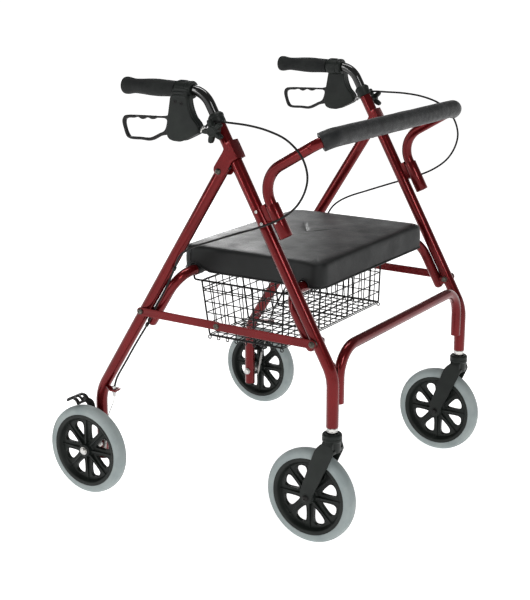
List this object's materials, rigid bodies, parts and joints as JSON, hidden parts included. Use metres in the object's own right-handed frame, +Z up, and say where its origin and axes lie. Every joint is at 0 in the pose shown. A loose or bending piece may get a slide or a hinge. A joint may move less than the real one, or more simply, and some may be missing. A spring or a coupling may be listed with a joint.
{
  "type": "rollator walker",
  "caption": "Folding four-wheeled walking frame with padded seat, wire basket, padded back bar, loop brakes, telescoping handles and swivelling front casters.",
  "frame": {"origin": "on the floor, under the middle of the wheelbase and of the width", "axes": "+Z up; the walker travels towards -Y; the user's right hand is at -X; the rear wheels are at +Y"},
  "size_m": [0.746, 0.741, 0.9148],
  "materials": {
    "frame_paint": "glossy dark metallic red",
    "black_tube": "glossy black",
    "black_steel": "black oxide",
    "zinc": "bright zinc plate",
    "bolt_steel": "dull dark zinc plate",
    "black_plastic": "satin moulded",
    "lever_plastic": "satin coated",
    "grip_rubber": "textured",
    "foam": "fine-celled foam skin",
    "vinyl": "grained vinyl",
    "wire": "black dip coat",
    "tyre_grey": "smooth grey rubber",
    "cable_sheath": "smooth sheath"
  },
  "bodies": {
    "frame": {"front_leg_right": "frame_paint", "front_leg_left": "frame_paint", "upper_bracket_right": "frame_paint", "upper_bracket_left": "frame_paint", "height_collar_right": "black_plastic", "height_collar_left": "black_plastic", "lower_cross_tube": "frame_paint", "back_socket_right": "frame_paint", "back_socket_left": "frame_paint", "seat_tube_front": "frame_paint", "fold_bolt_right": "bolt_steel", "fold_bolt_left": "bolt_steel", "link_bolt_front_right": "bolt_steel", "link_bolt_front_left": "bolt_steel", "caster_stem_right": "zinc", "caster_stem_left": "zinc", "back_tube": "frame_paint", "back_foam": "foam", "brake_cable_right": "cable_sheath", "brake_cable_left": "cable_sheath"},
    "rear_frame": {"rear_leg_right": "frame_paint", "rear_leg_left": "frame_paint", "seat_tube_rear": "frame_paint", "link_bolt_rear_right": "bolt_steel", "link_bolt_rear_left": "bolt_steel", "rear_axle_right": "zinc", "rear_axle_left": "zinc"},
    "front_links": {"side_link_front_right": "frame_paint", "side_link_front_left": "frame_paint"},
    "rear_links": {"side_link_rear_right": "frame_paint", "side_link_rear_left": "frame_paint"},
    "seat": {"seat_board": "black_plastic", "seat_pad": "vinyl"},
    "basket": {"basket": "wire"},
    "handle_right": {"handle_tube_right": "black_tube", "grip_right": "grip_rubber", "brake_housing_right": "black_plastic"},
    "lever_right": {"brake_lever_right": "lever_plastic"},
    "brake_arm_right": {"brake_arm_right": "lever_plastic"},
    "knob_right": {"height_knob_right": "black_plastic"},
    "button_right": {"back_button_right": "zinc"},
    "caster_right": {"caster_fork_right": "black_plastic", "caster_axle_right": "black_steel"},
    "caster_wheel_right": {"caster_rim_right": "black_plastic", "caster_tyre_right": "tyre_grey"},
    "rear_wheel_right": {"rear_rim_right": "black_plastic", "rear_tyre_right": "tyre_grey"},
    "handle_left": {"handle_tube_left": "black_tube", "grip_left": "grip_rubber", "brake_housing_left": "black_plastic"},
    "lever_left": {"brake_lever_left": "lever_plastic"},
    "brake_arm_left": {"brake_arm_left": "lever_plastic"},
    "knob_left": {"height_knob_left": "black_plastic"},
    "button_left": {"back_button_left": "zinc"},
    "caster_left": {"caster_fork_left": "black_plastic", "caster_axle_left": "black_steel"},
    "caster_wheel_left": {"caster_rim_left": "black_plastic", "caster_tyre_left": "tyre_grey"},
    "rear_wheel_left": {"rear_rim_left": "black_plastic", "rear_tyre_left": "tyre_grey"}
  },
  "joints": [
    {"name": "frame_fold", "type": "hinge", "parent": "frame", "child": "rear_frame", "pos_m": [0, -0.06, 0.743], "axis": [-1, 0, 0], "range_deg": [0, 36], "deforming": ["brake_cable_right", "brake_cable_left"]},
    {"name": "front_links_turn", "type": "hinge", "parent": "frame", "child": "front_links", "pos_m": [0, -0.2805, 0.4242], "axis": [1, 0, 0], "range_deg": [0, 38.6]},
    {"name": "rear_links_turn", "type": "hinge", "parent": "rear_frame", "child": "rear_links", "pos_m": [0, 0.1425, 0.4262], "axis": [-1, 0, 0], "range_deg": [0, 48.6]},
    {"name": "seat_lift", "type": "hinge", "parent": "frame", "child": "seat", "pos_m": [0, -0.2066, 0.5109], "axis": [1, 0, 0], "range_deg": [0, 80]},
    {"name": "basket_swing", "type": "hinge", "parent": "frame", "child": "basket", "pos_m": [0, -0.2066, 0.5109], "axis": [-1, 0, 0], "range_deg": [0, 22]},
    {"name": "handle_height_right", "type": "slide", "parent": "frame", "child": "handle_right", "axis": [0, 0.4869, 0.8734], "range_m": [0, 0.12], "deforming": ["brake_cable_right"]},
    {"name": "brake_lever_right", "type": "hinge", "parent": "handle_right", "child": "lever_right", "pos_m": [-0.314, 0.034, 0.858], "axis": [1, 0, 0], "range_deg": [0, 14], "stiffness_Nm_per_rad": 4, "springref_deg": -8.59},
    {"name": "brake_arm_right", "type": "hinge", "parent": "rear_frame", "child": "brake_arm_right", "pos_m": [-0.323, 0.2705, 0.158], "axis": [-1, 0, 0], "range_deg": [0, 17]},
    {"name": "knob_turn_right", "type": "hinge", "parent": "frame", "child": "knob_right", "pos_m": [-0.3295, -0.05845, 0.82377], "axis": [-1, 0, 0], "continuous": true},
    {"name": "back_button_right", "type": "slide", "parent": "frame", "child": "button_right", "axis": [1, 0, 0], "range_m": [0, 0.0022], "stiffness_N_per_m": 800, "springref_m": -0.001},
    {"name": "caster_swivel_right", "type": "hinge", "parent": "frame", "child": "caster_right", "pos_m": [-0.3, -0.317, 0.23], "axis": [0, 0, 1], "continuous": true},
    {"name": "caster_wheel_right", "type": "hinge", "parent": "caster_right", "child": "caster_wheel_right", "pos_m": [-0.3, -0.2705, 0.1], "axis": [1, 0, 0], "continuous": true},
    {"name": "rear_wheel_right", "type": "hinge", "parent": "rear_frame", "child": "rear_wheel_right", "pos_m": [-0.3506, 0.2705, 0.1], "axis": [1, 0, 0], "continuous": true},
    {"name": "handle_height_left", "type": "slide", "parent": "frame", "child": "handle_left", "axis": [0, 0.4869, 0.8734], "range_m": [0, 0.12], "deforming": ["brake_cable_left"]},
    {"name": "brake_lever_left", "type": "hinge", "parent": "handle_left", "child": "lever_left", "pos_m": [0.314, 0.034, 0.858], "axis": [1, 0, 0], "range_deg": [0, 14], "stiffness_Nm_per_rad": 4, "springref_deg": -8.59},
    {"name": "brake_arm_left", "type": "hinge", "parent": "rear_frame", "child": "brake_arm_left", "pos_m": [0.323, 0.2705, 0.158], "axis": [-1, 0, 0], "range_deg": [0, 17]},
    {"name": "knob_turn_left", "type": "hinge", "parent": "frame", "child": "knob_left", "pos_m": [0.3295, -0.05845, 0.82377], "axis": [1, 0, 0], "continuous": true},
    {"name": "back_button_left", "type": "slide", "parent": "frame", "child": "button_left", "axis": [-1, 0, 0], "range_m": [0, 0.0022], "stiffness_N_per_m": 800, "springref_m": -0.001},
    {"name": "caster_swivel_left", "type": "hinge", "parent": "frame", "child": "caster_left", "pos_m": [0.3, -0.317, 0.23], "axis": [0, 0, 1], "continuous": true},
    {"name": "caster_wheel_left", "type": "hinge", "parent": "caster_left", "child": "caster_wheel_left", "pos_m": [0.3, -0.2705, 0.1], "axis": [1, 0, 0], "continuous": true},
    {"name": "rear_wheel_left", "type": "hinge", "parent": "rear_frame", "child": "rear_wheel_left", "pos_m": [0.3506, 0.2705, 0.1], "axis": [1, 0, 0], "continuous": true}
  ],
  "couplings": [
    {"joint": "front_links_turn", "follows": "frame_fold", "ratio": 1.0576},
    {"joint": "rear_links_turn", "follows": "frame_fold", "ratio": 1.3357},
    {"joint": "basket_swing", "follows": "frame_fold", "ratio": 0.6},
    {"joint": "brake_arm_right", "follows": "brake_lever_right", "ratio": 1.2},
    {"joint": "brake_arm_left", "follows": "brake_lever_left", "ratio": 1.2}
  ]
}
